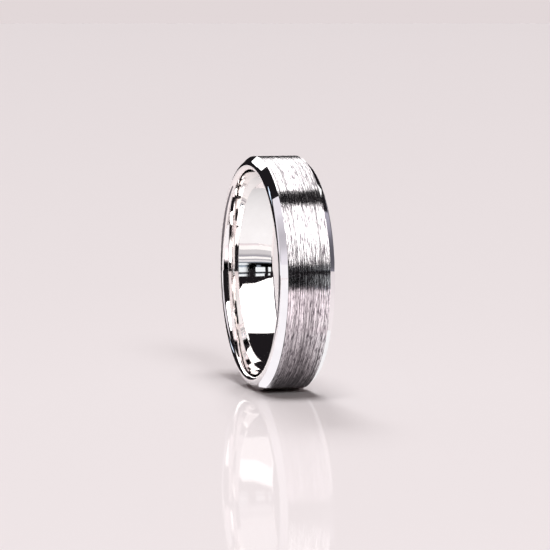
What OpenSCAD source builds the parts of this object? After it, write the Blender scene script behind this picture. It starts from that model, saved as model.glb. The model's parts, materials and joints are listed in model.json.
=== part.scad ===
// Wedding band built up from four turned rings: a comfort-fit liner, a brushed
// sleeve round its middle, and a polished bevelled rail at each side of the sleeve.
// The bore runs along Y and the origin is the centre of the bore, so the band
// stands on its outer face with +Z up.

/* [Band] */
// Diameter of the bore at its straight middle
inner_d = 17.7; // [15:0.1:22]
// Width of the whole band, from side to side
band_w = 5; // [4:0.1:8]
// Radial thickness from the bore to the brushed face
wall = 1.35; // [1.2:0.05:2]

/* [Polished rails] */
// Width of one bevelled rail, along the bore
rail_w = 0.64; // [0.6:0.02:0.9]
// Radius that rounds the bevel into the side of the band
crest_r = 0.55; // [0.3:0.01:0.6]

/* [Comfort-fit liner] */
// Radial thickness of the liner at the straight middle of the bore
liner_wall = 0.53; // [0.5:0.01:0.6]
// Width of the straight middle of the bore
land_w = 1.2; // [1.1:0.1:2]
// Radius that rounds the mouth of the bore into the side of the band
mouth_r = 0.39; // [0.3:0.01:0.42]

/* [Hidden] */

ring_fn = 180;
arc_steps = 16;
polished = [0.88, 0.87, 0.88];
brushed = [0.72, 0.71, 0.73];

bore_r = inner_d / 2;
outer_r = bore_r + wall;
seat_r = bore_r + liner_wall;
half_w = band_w / 2;
sleeve_half_w = half_w - rail_w;
land_half_w = land_w / 2;

// In a section, a point is [radius, distance along the bore], and the angle of a
// surface is that of its outward normal, from the radius towards the side.
function on_circle(centre, r, angle) = centre + r * [cos(angle), sin(angle)];
function arc(centre, r, from, to) =
    [for (i = [0 : arc_steps]) on_circle(centre, r, from + (to - from) * i / arc_steps)];

// The bevel is the straight line from the sleeve's edge that touches the crest.
sleeve_edge = [outer_r, sleeve_half_w];
crest_centre = [seat_r, half_w - crest_r];
to_crest = crest_centre - sleeve_edge;
bevel_angle = atan2(to_crest[1], to_crest[0]) - asin(crest_r / norm(to_crest)) - 90;

// The bore flares from its straight middle along one large arc, which touches
// both the straight middle and the small arc at the mouth.
mouth_centre = [seat_r, half_w - mouth_r];
flare_run = mouth_centre[1] - land_half_w;
flare_r = (liner_wall ^ 2 + flare_run ^ 2 - mouth_r ^ 2) / (2 * (liner_wall - mouth_r));
flare_angle = asin(flare_run / (flare_r - mouth_r));
flare_centre = [bore_r + flare_r, land_half_w];

// The bore's wall from its middle to the side of the band. A surface that faces
// the bore has its normal past 90 degrees.
half_bore = concat(
    arc(flare_centre, flare_r, 180, 180 - flare_angle),
    arc(mouth_centre, mouth_r, 180 - flare_angle, 90)
);

function flipped(points) =
    [for (i = [len(points) - 1 : -1 : 0]) [points[i][0], -points[i][1]]];

// Turns a section about the bore's axis and lays that axis along Y.
module turned(section)
    rotate([-90, 0, 0])
        rotate_extrude($fn = ring_fn)
            polygon(section);

module comfort_fit_liner()
    color(polished)
        turned(concat(flipped(half_bore), half_bore));

module brushed_sleeve()
    color(brushed)
        turned([
            [seat_r, -sleeve_half_w],
            [outer_r, -sleeve_half_w],
            [outer_r, sleeve_half_w],
            [seat_r, sleeve_half_w]
        ]);

module bevel_rail()
    color(polished)
        turned(concat(
            [[seat_r, sleeve_half_w]],
            arc(crest_centre, crest_r, 90, bevel_angle),
            [sleeve_edge]
        ));

module rear_bevel_rail()
    bevel_rail();

module front_bevel_rail()
    mirror([0, 1, 0]) bevel_rail();

comfort_fit_liner();
brushed_sleeve();
front_bevel_rail();
rear_bevel_rail();
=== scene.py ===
"""A brushed and bevelled wedding band on a pale glossy table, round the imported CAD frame."""

import json
import math

import bmesh
import bpy
from mathutils import Matrix, Vector


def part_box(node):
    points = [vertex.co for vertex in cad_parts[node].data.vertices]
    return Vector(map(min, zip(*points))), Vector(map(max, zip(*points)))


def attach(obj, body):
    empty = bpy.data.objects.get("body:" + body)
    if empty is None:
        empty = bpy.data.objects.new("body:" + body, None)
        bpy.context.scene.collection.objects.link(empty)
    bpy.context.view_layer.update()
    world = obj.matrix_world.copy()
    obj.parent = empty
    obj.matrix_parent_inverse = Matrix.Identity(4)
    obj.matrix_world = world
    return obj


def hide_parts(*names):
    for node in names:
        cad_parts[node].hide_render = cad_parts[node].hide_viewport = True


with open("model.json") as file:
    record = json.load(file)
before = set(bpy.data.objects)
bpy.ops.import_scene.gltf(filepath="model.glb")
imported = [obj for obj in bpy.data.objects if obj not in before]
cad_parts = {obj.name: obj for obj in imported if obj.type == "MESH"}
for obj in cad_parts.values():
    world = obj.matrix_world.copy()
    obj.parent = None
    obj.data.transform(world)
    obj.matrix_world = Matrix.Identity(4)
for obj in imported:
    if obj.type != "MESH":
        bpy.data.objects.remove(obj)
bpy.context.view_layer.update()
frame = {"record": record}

# ---------------------------------------------------------------- sizes, in metres
_, sleeve_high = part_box("brushed_sleeve")
_, liner_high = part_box("comfort_fit_liner")
outer_r = sleeve_high.x
sleeve_half_w = sleeve_high.y
seat_r = liner_high.x
half_w = liner_high.y
finger_bore = frame["record"]["mounts"][0]["dims"]
bore_r = finger_bore["r_mm"] / 1000
land_half_w = finger_bore["length_mm"] / 1000 / 2
crest_r = 0.00055
mouth_r = 0.00039
floor_z = -outer_r

segments = 480
arc_steps = 24
line_steps = 6
sharp_angle = math.radians(25)


# ---------------------------------------------------------------- shapes
def arc(centre, radius, start, end):
    """Points of an arc in the section, as (radius, distance along the bore)."""
    angles = [start + (end - start) * i / arc_steps for i in range(arc_steps + 1)]
    return [(centre[0] + radius * math.cos(a), centre[1] + radius * math.sin(a)) for a in angles]


def line(start, end):
    """Points of a straight stretch, closer together at its ends, without the last point."""
    points = []
    for i in range(line_steps):
        t = 0.5 - 0.5 * math.cos(math.pi * i / line_steps)
        points.append((start[0] + (end[0] - start[0]) * t, start[1] + (end[1] - start[1]) * t))
    return points


def half_bore():
    """The bore's wall from its middle to the side of the band."""
    liner_wall = seat_r - bore_r
    run = half_w - mouth_r - land_half_w
    flare_r = (liner_wall**2 + run**2 - mouth_r**2) / (2 * (liner_wall - mouth_r))
    flare_angle = math.asin(run / (flare_r - mouth_r))
    land = line((bore_r, 0), (bore_r, land_half_w))
    flare = arc((bore_r + flare_r, land_half_w), flare_r, math.pi, math.pi - flare_angle)
    mouth = arc((seat_r, half_w - mouth_r), mouth_r, math.pi - flare_angle, math.pi / 2)
    return land + flare[:-1] + mouth


def flipped(points):
    """The same stretch on the other side of the band, run through backwards."""
    return [(r, -s) for r, s in reversed(points)]


def liner_section():
    bore = half_bore()
    outside = line((seat_r, half_w), (seat_r, -half_w))
    return flipped(bore)[:-1] + bore + outside[1:]


def rail_section(side):
    """The rail at the +Y side for side = 1, or at the -Y side for side = -1."""
    edge = (outer_r, sleeve_half_w)
    centre = (seat_r, half_w - crest_r)
    to_crest = (centre[0] - edge[0], centre[1] - edge[1])
    reach = math.hypot(*to_crest)
    bevel_angle = math.atan2(to_crest[1], to_crest[0]) - math.asin(crest_r / reach) - math.pi / 2
    crest = arc(centre, crest_r, math.pi / 2, bevel_angle)
    bevel = line(crest[-1], edge)
    foot = (seat_r, sleeve_half_w)
    points = line(foot, crest[0]) + crest[:-1] + bevel + line(edge, foot)
    return [(r, side * s) for r, s in points][:: side]


def sleeve_section():
    corners = [
        (seat_r, -sleeve_half_w),
        (seat_r, sleeve_half_w),
        (outer_r, sleeve_half_w),
        (outer_r, -sleeve_half_w),
    ]
    return [p for a, b in zip(corners, corners[1:] + corners[:1]) for p in line(a, b)]


def turned(name, section):
    """A closed ring, turned from a closed section about the Y axis."""
    mesh = bmesh.new()
    loops = []
    for i in range(segments):
        a = 2 * math.pi * i / segments
        loops.append([mesh.verts.new((r * math.sin(a), s, r * math.cos(a))) for r, s in section])
    count = len(section)
    for i in range(segments):
        here, there = loops[i], loops[(i + 1) % segments]
        for j in range(count):
            k = (j + 1) % count
            mesh.faces.new((here[j], there[j], there[k], here[k]))
    bmesh.ops.recalc_face_normals(mesh, faces=mesh.faces)
    data = bpy.data.meshes.new(name)
    mesh.to_mesh(data)
    mesh.free()
    data.shade_smooth()
    data.set_sharp_from_angle(angle=sharp_angle)
    ring = bpy.data.objects.new(name, data)
    bpy.context.scene.collection.objects.link(ring)
    return ring


# ---------------------------------------------------------------- materials
class Nodes:
    """A short hand for building the nodes of one material or world."""

    def __init__(self, owner):
        owner.use_nodes = True
        self.tree = owner.node_tree

    def add(self, kind, **settings):
        node = self.tree.nodes.new(kind)
        for key, value in settings.items():
            setattr(node, key, value)
        return node

    def give(self, value, target):
        """Feeds an input from another node's output, or with a constant."""
        if isinstance(value, bpy.types.NodeSocket):
            self.tree.links.new(value, target)
        else:
            target.default_value = value

    def calculate(self, operation, first, second):
        node = self.add("ShaderNodeMath", operation=operation)
        self.give(first, node.inputs[0])
        self.give(second, node.inputs[1])
        return node.outputs["Value"]

    def noise(self, scale, detail=2.0, roughness=0.5):
        """Noise over the object's own place, with each axis scaled on its own."""
        coordinates = self.add("ShaderNodeTexCoord")
        mapping = self.add("ShaderNodeMapping", vector_type="POINT")
        mapping.inputs["Scale"].default_value = scale
        self.give(coordinates.outputs["Object"], mapping.inputs["Vector"])
        node = self.add("ShaderNodeTexNoise")
        node.inputs["Scale"].default_value = 1.0
        node.inputs["Detail"].default_value = detail
        node.inputs["Roughness"].default_value = roughness
        self.give(mapping.outputs["Vector"], node.inputs["Vector"])
        return node.outputs["Fac"]

    def remap(self, value, low, high, from_low=0.3, from_high=0.7, interpolation="LINEAR"):
        node = self.add("ShaderNodeMapRange", interpolation_type=interpolation)
        node.inputs["From Min"].default_value = from_low
        node.inputs["From Max"].default_value = from_high
        node.inputs["To Min"].default_value = low
        node.inputs["To Max"].default_value = high
        self.give(value, node.inputs["Value"])
        return node.outputs["Result"]

    def mix(self, amount, low, high, blend_type="MIX"):
        """A mix of two colours, each an opaque one or from another node."""
        node = self.add("ShaderNodeMix", data_type="RGBA", blend_type=blend_type)
        self.give(amount, node.inputs[0])
        self.give(low, node.inputs[6])
        self.give(high, node.inputs[7])
        return node.outputs[2]

    def ramped(self, value, levels, colour):
        """A colour whose level follows a value. Levels are pairs of value and level."""
        fade = self.add("ShaderNodeValToRGB")
        stops = fade.color_ramp.elements
        while len(stops) < len(levels):
            stops.new(0.5)
        for stop, (place, level) in zip(stops, levels):
            stop.position = place
            stop.color = (level, level, level, 1)
        self.give(value, fade.inputs["Fac"])
        return self.mix(1.0, colour, fade.outputs["Color"], blend_type="MULTIPLY")

    def bump(self, height, strength, distance, under=None):
        node = self.add("ShaderNodeBump")
        node.inputs["Strength"].default_value = strength
        node.inputs["Distance"].default_value = distance
        self.give(height, node.inputs["Height"])
        if under is not None:
            self.give(under, node.inputs["Normal"])
        return node.outputs["Normal"]

    def either(self, share, low, high):
        """A mix of two shaders."""
        node = self.add("ShaderNodeMixShader")
        self.give(share, node.inputs["Fac"])
        self.give(low, node.inputs[1])
        self.give(high, node.inputs[2])
        return node.outputs["Shader"]


def opaque(colour):
    """The colour with the fourth channel that sockets want."""
    return (*colour, 1)


def metal(name):
    """A material with one metallic shader, and the nodes and the shader to finish it."""
    material = bpy.data.materials.new(name)
    n = Nodes(material)
    shader = n.tree.nodes["Principled BSDF"]
    shader.inputs["Metallic"].default_value = 1.0
    return material, n, shader


def polished_metal(name, low, high):
    """Mirror polish, with the faint haze and hairlines that polishing leaves."""
    material, n, shader = metal(name)
    haze = n.noise((900, 900, 900), detail=3)
    hairlines = n.noise((1500, 24000, 1500))
    n.give(n.mix(n.remap(haze, 0, 1), opaque(low), opaque(high)), shader.inputs["Base Color"])
    n.give(n.remap(hairlines, 0.02, 0.05), shader.inputs["Roughness"])
    n.give(n.bump(hairlines, strength=0.03, distance=0.00001), shader.inputs["Normal"])
    return material


def brushed_metal():
    """Fine lines brushed round the band, long and short, over a satin ground."""
    material, n, shader = metal("brushed_white_metal")
    shader.inputs["Anisotropic"].default_value = 1.0
    shader.inputs["Anisotropic Rotation"].default_value = 0.25
    tangent = n.add("ShaderNodeTangent", direction_type="RADIAL", axis="Y")
    n.give(tangent.outputs["Tangent"], shader.inputs["Tangent"])
    long_lines = n.noise((90, 8500, 90), roughness=0.6)
    ticks = n.noise((1400, 11500, 1400), roughness=0.6)
    line_share = n.remap(long_lines, 0, 1, from_low=0.40, from_high=0.58)
    line_tone = n.mix(line_share, (0.36, 0.34, 0.35, 1), (1.0, 0.96, 0.975, 1))
    tick_share = n.remap(ticks, 0, 1, from_low=0.38, from_high=0.52)
    tick_tone = n.mix(tick_share, (0.26, 0.24, 0.26, 1), (1, 1, 1, 1))
    n.give(n.mix(1.0, line_tone, tick_tone, blend_type="MULTIPLY"), shader.inputs["Base Color"])
    n.give(n.remap(ticks, 0.22, 0.17), shader.inputs["Roughness"])
    coarse = n.bump(long_lines, strength=1.0, distance=0.00003)
    fine = n.bump(ticks, strength=1.0, distance=0.000015, under=coarse)
    n.give(fine, shader.inputs["Normal"])
    return material


# ---------------------------------------------------------------- the band
def make_piece(name, section, node, material):
    """One turned piece, which stands in for the CAD node and rides on the one body."""
    piece = turned(name, section)
    piece.data.materials.append(material)
    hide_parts(node)
    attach(piece, "root")


bore_polish = polished_metal("polished_bore", (0.95, 0.915, 0.905), (0.985, 0.955, 0.945))
rail_polish = polished_metal("polished_rails", (0.93, 0.92, 0.93), (0.97, 0.96, 0.97))
brush = brushed_metal()
make_piece("liner", liner_section(), "comfort_fit_liner", bore_polish)
make_piece("sleeve", sleeve_section(), "brushed_sleeve", brush)
make_piece("front_rail", rail_section(-1), "front_bevel_rail", rail_polish)
make_piece("rear_rail", rail_section(1), "rear_bevel_rail", rail_polish)


# ---------------------------------------------------------------- studio
# Where the camera stands: degrees round from the front of the band, degrees up, and
# the distance.
view_azimuth = 73.9
view_elevation = 4.94
view_distance = 25 * outer_r

# All other directions are given from the camera's side: azimuth 0 is straight away
# behind the band, 90 is to the right of the picture and 180 is at the camera.
view_turn = math.radians(view_azimuth)
away = Vector((-math.sin(view_turn), math.cos(view_turn), 0))
rightwards = Vector((math.cos(view_turn), math.sin(view_turn), 0))
up = Vector((0, 0, 1))


def towards(azimuth, elevation):
    """The direction with an azimuth and an elevation in degrees."""
    a = math.radians(azimuth)
    e = math.radians(elevation)
    return (away * math.cos(a) + rightwards * math.sin(a)) * math.cos(e) + up * math.sin(e)


def point_at(azimuth, elevation, distance):
    """The point in a direction at a level distance from the band's middle."""
    ray = towards(azimuth, elevation)
    return ray * (distance / math.hypot(ray.x, ray.y))


def turned_to(direction):
    """The turn of a lamp or camera that stands in a direction and looks back."""
    return direction.to_track_quat("Z", "Y").to_matrix().to_4x4()


def material_from(name, build):
    """A material whose nodes are added by build, which returns the last shader."""
    material = bpy.data.materials.new(name)
    n = Nodes(material)
    n.tree.nodes.remove(n.tree.nodes["Principled BSDF"])
    n.give(build(n), n.tree.nodes["Material Output"].inputs["Surface"])
    return material


def emitter(name, colour, strength, soft=0.0, one_sided=False, ramp=None, reach=None):
    """A glowing card. Soft is the share of it over which each edge turns clear, and
    a one-sided card can't be seen from its back. A ramp is the card's axis, X or Y,
    with the share of the strength at each of a few places along it. A card with a
    reach is clear from further off. Light that a matt surface has scattered doesn't
    see the card, so the band throws no glints of it on the table."""

    def build(n):
        path = n.add("ShaderNodeLightPath")
        unscattered = n.calculate("LESS_THAN", path.outputs["Diffuse Depth"], 0.5)
        coordinates = n.add("ShaderNodeTexCoord")
        axes = n.add("ShaderNodeSeparateXYZ")
        n.give(coordinates.outputs["UV"], axes.inputs["Vector"])
        glow = n.add("ShaderNodeEmission")
        n.give(n.calculate("MULTIPLY", unscattered, strength), glow.inputs["Strength"])
        tone = opaque(colour)
        if ramp:
            axis, levels = ramp
            tone = n.ramped(axes.outputs[axis], levels, tone)
        n.give(tone, glow.inputs["Color"])
        shares = []
        if soft:
            for axis in ("X", "Y"):
                for edge, inside in ((0, soft), (1, 1 - soft)):
                    shares.append(n.remap(axes.outputs[axis], 0, 1, edge, inside, "SMOOTHSTEP"))
        if one_sided:
            side = n.add("ShaderNodeNewGeometry")
            shares.append(n.calculate("SUBTRACT", 1, side.outputs["Backfacing"]))
        if reach:
            shares.append(n.calculate("LESS_THAN", path.outputs["Ray Length"], reach))
        shader = glow.outputs["Emission"]
        for share in shares:
            clear = n.add("ShaderNodeBsdfTransparent")
            shader = n.either(share, clear.outputs["BSDF"], shader)
        return shader

    return material_from(name, build)


near_reach = 0.035


def near_emitter(name, colour, strength):
    """A one-sided card close round the band, for the band alone."""
    return emitter(name, colour, strength, one_sided=True, reach=near_reach)


def ribbon(name, low, high, material):
    """A card between a row of low points and a row of high points. It shows only
    in reflections."""
    last = len(low) - 1
    faces = [(i, i + 1, i + last + 2, i + last + 1) for i in range(last)]
    data = bpy.data.meshes.new(name)
    data.from_pydata([Vector(c) for c in low + high], [], faces)
    data.materials.append(material)
    layer = data.uv_layers.new(name="across")
    for i in range(last):
        for k, (along, height) in enumerate(((i, 0), (i + 1, 0), (i + 1, 1), (i, 1))):
            layer.data[4 * i + k].uv = (along / last, height)
    obj = bpy.data.objects.new(name, data)
    bpy.context.scene.collection.objects.link(obj)
    obj.visible_camera = False
    obj.visible_diffuse = False
    obj.visible_shadow = False


def card(name, corners, material):
    """A flat card through four corners."""
    a, b, c, d = corners
    ribbon(name, [a, b], [d, c], material)


def upright(name, distance, azimuths, elevations, material):
    """An upright card, facing the band, between two azimuths and two elevations."""
    low, high = [[point_at(a, e, distance) for a in azimuths] for e in elevations]
    ribbon(name, low, high, material)


def on_table(name, azimuths, distances, height, material):
    """A card lying at a height in a ring sector round the band."""
    steps = 8
    inner = []
    outer = []
    for i in range(steps + 1):
        ray = towards(azimuths[0] + (azimuths[1] - azimuths[0]) * i / steps, 0)
        inner.append(ray * distances[0] + up * height)
        outer.append(ray * distances[1] + up * height)
    ribbon(name, inner, outer, material)


white = (1.0, 0.985, 0.98)
lavender = (0.93, 0.90, 1.0)
window_blue = (0.72, 0.84, 1.0)
pale_pink = (1.0, 0.97, 1.0)

front_light = emitter("front_softbox", white, 2.5)
overhead_light = emitter("overhead_softbox", white, 3.2, soft=0.08)
over_light = near_emitter("over_card", white, 2.1)
patch_light = near_emitter("bore_patch", white, 1.3)
side_levels = (
    (0, 0.92),
    (0.10, 0.88),
    (0.17, 0.60),
    (0.26, 0.56),
    (0.36, 0.64),
    (0.48, 0.74),
    (0.58, 0.88),
)
side_light = emitter("side_softbox", (0.98, 0.93, 1.0), 1.0, ramp=("X", side_levels))
low_light = emitter("low_card", pale_pink, 0.97)
corner_levels = (
    (0, 0.6),
    (0.10, 0.32),
    (0.3, 0.27),
    (0.5, 0.33),
    (0.65, 0.45),
    (0.8, 0.8),
    (1, 1.05),
)
corner_light = emitter("corner_card", (0.80, 0.76, 0.90), 0.5, ramp=("Y", corner_levels))
crest_light = emitter("crest_card", window_blue, 1.3)
window_light = near_emitter("window", (0.92, 0.97, 1.0), 1.0)
window_grey = near_emitter("window_grey", window_blue, 0.5)
window_dim = near_emitter("window_dim", window_blue, 0.25)
# Strips that paint the table's reflection in the bore, in lighter and darker bands.
strip_white = near_emitter("strip_white", white, 1.05)
strip_light = near_emitter("strip_light", (0.98, 0.97, 1.0), 0.8)
strip_pale = near_emitter("strip_pale", pale_pink, 0.66)
strip_mid = near_emitter("strip_mid", pale_pink, 0.52)
strip_grey = near_emitter("strip_grey", lavender, 0.42)
# Painted reflection of the lit table, seen by the bore: a glowing card, dimmer towards its -X end.
glow_ramp = ("X", ((0, 0.66), (0.20, 0.80), (0.40, 0.92), (0.65, 1), (1, 1)))
glow_colour = (1.0, 0.985, 1.0)
table_glow = emitter("table_glow", glow_colour, 0.99, soft=0.04, one_sided=True, ramp=glow_ramp)
# Painted reflection of the lit table, seen by the front bevel.
table_bright = emitter("table_bright", pale_pink, 1.0, soft=0.02, one_sided=True)
table_shade = emitter("table_shade", (1.0, 0.9, 0.98), 0.20, one_sided=True)
table_dusk = emitter("table_dusk", (1.0, 0.9, 1.0), 0.08, one_sided=True)
# The table's reflection in the brushed face, painted along the card: the band's shadow painted in
# near it, brightest partway out, and painted dark again at the far end.
face_shade_levels = (
    (0, 0.04),
    (0.021, 0.10),
    (0.039, 0.25),
    (0.066, 0.40),
    (0.096, 0.58),
    (0.14, 0.93),
    (0.212, 1.28),
    (0.46, 1.28),
    (0.52, 1.15),
    (0.58, 0.75),
    (0.66, 0.30),
    (0.78, 0.06),
    (1, 0),
)
face_colour = (1.0, 0.89, 0.93)
face_table_reflection = emitter("face_table_reflection", face_colour, 1.0, one_sided=True, ramp=("Y", face_shade_levels))
# A black card that paints the table dark in reflections, where the table is lit.
table_black = emitter("table_black", (0, 0, 0), 0.0, one_sided=True)

# The front softbox is a long curved scrim. For each column: its azimuth and the
# elevation of its lower edge.
front_scrim = (
    (84, 4.4),
    (90, 5),
    (100, 6),
    (110, 7),
    (120, 8.5),
    (130, 10),
    (147, 16),
    (149, 20),
    (166, 36),
    (180, 37),
    (200, 37),
)
scrim_distance = 0.45
scrim_top = 0.38
scrim_lip_x = 0.12


def scrim(name, columns, material):
    """The lower edge curves round the band at one distance. The upper edge is
    straight and level, along Y."""
    low = []
    high = []
    for azimuth, bottom in columns:
        low.append(point_at(azimuth, bottom, scrim_distance))
        flat = towards(azimuth, 0)
        high.append(flat * (scrim_lip_x / flat.x) + up * scrim_top)
    ribbon(name, low, high, material)


scrim("front_softbox", front_scrim, front_light)

# The overhead softbox is flat and level. Its X and Y are given in ceiling heights: the
# front edge goes through these places, and the rear edge is straight.
ceiling = 0.35
overhead_rear_y = 0.05
overhead_front = (
    (-2.85, -0.60),
    (-2.62, -0.84),
    (-2.40, -0.96),
    (-2.10, -0.94),
    (-1.85, -0.80),
    (-1.60, -0.73),
    (-1.35, -0.69),
    (-1.15, -0.62),
    (-1.05, -0.56),
    (-0.90, -0.48),
    (-0.10, -0.30),
)
ribbon(
    "overhead_softbox",
    [Vector((x, y, 1)) * ceiling for x, y in overhead_front],
    [Vector((x, overhead_rear_y, 1)) * ceiling for x, y in overhead_front],
    overhead_light,
)

upright("side_softbox", 0.35, (228, 268), (7, 45), side_light)
upright("low_card", 0.35, (226, 262), (-1.66, 7), low_light)
upright("corner_card", 0.40, (33, 65), (-1, 17), corner_light)
upright("crest_card", 0.40, (281, 290), (24, 41), crest_light)

# This one is small and close above the rear rail, where only the bore sees it, next
# to the front softbox.
patch_z = 0.012
card(
    "bore_patch",
    [
        (-0.0044, 0.0130, patch_z),
        (0.0120, 0.0230, patch_z),
        (0.0060, 0.0036, patch_z),
        (-0.0027, 0.0034, patch_z),
    ],
    patch_light,
)

# The bore looks out past the rear of the band, so what it sees close to the horizon
# stands right behind the rear rail, where the brushed face doesn't see it: two rows
# of window panes over bands of table. The bands are glowing strips that paint the
# table's reflection in lighter and darker tones. Each has its Y range and its Z range,
# in millimetres.
view_x = 0.014
bore_view = (
    (3.5, 6.15, -1.05, 0.80, window_light),
    (7.45, 14.0, -0.98, 0.80, window_light),
    (16.6, 19.5, -1.05, 0.80, window_light),
    (3.5, 6.15, 1.50, 2.35, window_light),
    (7.30, 13.6, 1.50, 2.45, window_light),
    (16.5, 18.4, 1.50, 2.30, window_light),
    (7.30, 14.3, 1.27, 1.50, window_dim),
    (3.5, 6.15, 1.27, 1.50, window_dim),
    (3.5, 6.15, -1.75, -1.05, window_grey),
    (8.0, 10.8, -1.75, -0.98, window_dim),
    (3.5, 6.3, -2.60, -1.85, window_light),
    (3.5, 21.0, -3.00, -2.65, window_dim),
    (3.5, 21.0, -3.75, -3.00, strip_light),
    (3.5, 21.0, -4.15, -3.75, strip_grey),
    (3.5, 21.0, -5.05, -4.15, strip_white),
    (3.5, 21.0, -5.80, -5.05, strip_grey),
    (3.5, 21.0, -6.25, -5.80, strip_mid),
    (3.5, 21.0, -8.05, -6.25, strip_pale),
    (3.5, 24.0, -10.15, -8.05, strip_white),
)
for index, (y_low, y_high, z_low, z_high, material) in enumerate(bore_view):
    corners = ((y_low, z_low), (y_low, z_high), (y_high, z_high), (y_high, z_low))
    card(f"bore_view_{index}", [(view_x, y / 1000, z / 1000) for y, z in corners], material)

# What the band sees of the table lies on thin layers just over it: glowing cards that paint the
# table's reflection, lit in some places and shaded in others.
layer = 0.0001
dark_reflection_z = floor_z + layer
face_z = floor_z + 2 * layer
glow_z = floor_z + 3 * layer
bright_z = floor_z + 5 * layer
glow_near = ((-0.0120, 0.0040), (-0.0040, 0.0026), (0.0060, 0.0024), (0.0125, 0.0030))
glow_far = ((-0.0120, 0.0070), (-0.0040, 0.0110), (0.0060, 0.0175), (0.0125, 0.0200))
# A glowing card that paints the lit table's reflection in the bore.
ribbon(
    "table_glow",
    [Vector((x, y, glow_z)) for x, y in glow_near],
    [Vector((x, y, glow_z)) for x, y in glow_far],
    table_glow,
)
# A glowing card that paints the lit table's reflection in the front bevel.
bright_left = ((0.0015, -0.0012), (0.006, -0.010), (0.010, -0.030), (0.030, -0.100), (0.060, -0.175))
bright_right = ((0.012, -0.0012), (0.018, -0.010), (0.034, -0.030), (0.070, -0.100), (0.100, -0.175))
ribbon(
    "table_bright",
    [Vector((x, y, bright_z)) for x, y in bright_left],
    [Vector((x, y, bright_z)) for x, y in bright_right],
    table_bright,
)
# A glowing card on the table that paints the table's reflection in the brushed face, with a painted
# shadow of the band near it.
card(
    "face_table_reflection",
    [
        (0.0025, 0.0024, face_z),
        (0.0025, -0.0024, face_z),
        (0.085, -0.0295, face_z),
        (0.085, 0.0607, face_z),
    ],
    face_table_reflection,
)
# Dim cards that paint the table as shaded in reflections, off to the left.
on_table("table_shade", (249, 303), (0.018, 0.050), glow_z, table_shade)
on_table("table_dusk", (249, 303), (0.050, 3.0), glow_z, table_dusk)
# Paints the table dark in reflections towards the camera and to the right, from 5 cm out.
on_table("table_dark_reflection", (95, 205), (0.050, 29.0), dark_reflection_z, table_black)

# A small card close over the top of the band.
over_z = 0.013
card(
    "over_card",
    [
        (-0.0052, -0.002, over_z),
        (-0.0052, 0.0042, over_z),
        (0.00663, 0.0034, over_z),
        (0.00663, -0.002, over_z),
    ],
    over_light,
)

backdrop = (0.76, 0.686, 0.693)
fill_level = (0.13, 0.09, 0.086)
room_dark = (0.013, 0.011, 0.013)
lamp_colour = (1.0, 0.95, 0.96)


def room():
    """The room: pale where the camera sees it, dim as fill light, and dark in
    reflections, like a studio behind its lamps."""
    world = bpy.data.worlds.new("room")
    n = Nodes(world)
    path = n.add("ShaderNodeLightPath")
    unseen = n.mix(path.outputs["Is Diffuse Ray"], opaque(room_dark), opaque(fill_level))
    colour = n.mix(path.outputs["Is Camera Ray"], unseen, opaque(backdrop))
    n.give(colour, n.tree.nodes["Background"].inputs["Color"])
    bpy.context.scene.world = world


def lamp(name, azimuth, elevation, strength, spread):
    """A soft distant lamp for the table's light and shadows; reflections miss it."""
    data = bpy.data.lights.new(name, "SUN")
    data.energy = strength
    data.angle = math.radians(spread)
    data.color = lamp_colour
    obj = bpy.data.objects.new(name, data)
    obj.matrix_world = turned_to(towards(azimuth, elevation))
    obj.visible_glossy = False
    bpy.context.scene.collection.objects.link(obj)


room()
lamp("back_lamp", -8, 38, 1.30, 18)
lamp("top_lamp", 168, 77, 1.76, 28)
lamp("camera_lamp", 164, 31, 0.85, 14)


# ---------------------------------------------------------------- table
table_reach = 30
table_near = (0.895, 0.89, 0.895)
table_far = (0.82, 0.815, 0.82)
# At this distance the painted fall-off of light is halfway between the two tones.
light_falloff_distance = 0.4
gloss_roughness = 0.03
gloss_share = 0.125
# How slanting the view is, from 0 to 1, where the gloss starts and where it's full.
gloss_start = 0.60
gloss_full = 0.91


def table_surface(n):
    """A pale table with a painted fall-off of light, a little darker far away from the
    band, matt with a faint mirror gloss that shows from a low angle."""
    place = n.add("ShaderNodeNewGeometry")
    distance = n.add("ShaderNodeVectorMath", operation="LENGTH")
    n.give(place.outputs["Position"], distance.inputs[0])
    beyond = n.calculate("ADD", distance.outputs["Value"], light_falloff_distance)
    nearness = n.calculate("DIVIDE", light_falloff_distance, beyond)
    matt = n.add("ShaderNodeBsdfDiffuse")
    n.give(n.mix(nearness, opaque(table_far), opaque(table_near)), matt.inputs["Color"])
    gloss = n.add("ShaderNodeBsdfGlossy")
    gloss.inputs["Color"].default_value = (1, 1, 1, 1)
    gloss.inputs["Roughness"].default_value = gloss_roughness
    slant = n.add("ShaderNodeLayerWeight")
    share = n.remap(slant.outputs["Facing"], 0, gloss_share, gloss_start, gloss_full)
    return n.either(share, matt.outputs["BSDF"], gloss.outputs["BSDF"])


def table():
    corners = ((-1, -1), (1, -1), (1, 1), (-1, 1))
    data = bpy.data.meshes.new("table")
    points = [(x * table_reach, y * table_reach, floor_z) for x, y in corners]
    data.from_pydata(points, [], [(0, 1, 2, 3)])
    data.materials.append(material_from("pale_table", table_surface))
    obj = bpy.data.objects.new("table", data)
    bpy.context.scene.collection.objects.link(obj)


table()


# ---------------------------------------------------------------- camera
def camera():
    """A long lens. Its shift sets the band a little off the picture's centre."""
    data = bpy.data.cameras.new("camera")
    data.lens = 191
    data.sensor_width = 36
    data.clip_start = 0.01
    data.clip_end = 100
    data.shift_x = -0.0015
    data.shift_y = -0.0043
    sight = towards(180, view_elevation)
    obj = bpy.data.objects.new("camera", data)
    obj.matrix_world = Matrix.Translation(sight * view_distance) @ turned_to(sight)
    bpy.context.scene.collection.objects.link(obj)
    bpy.context.scene.camera = obj


camera()
bpy.context.scene.view_settings.view_transform = "Standard"
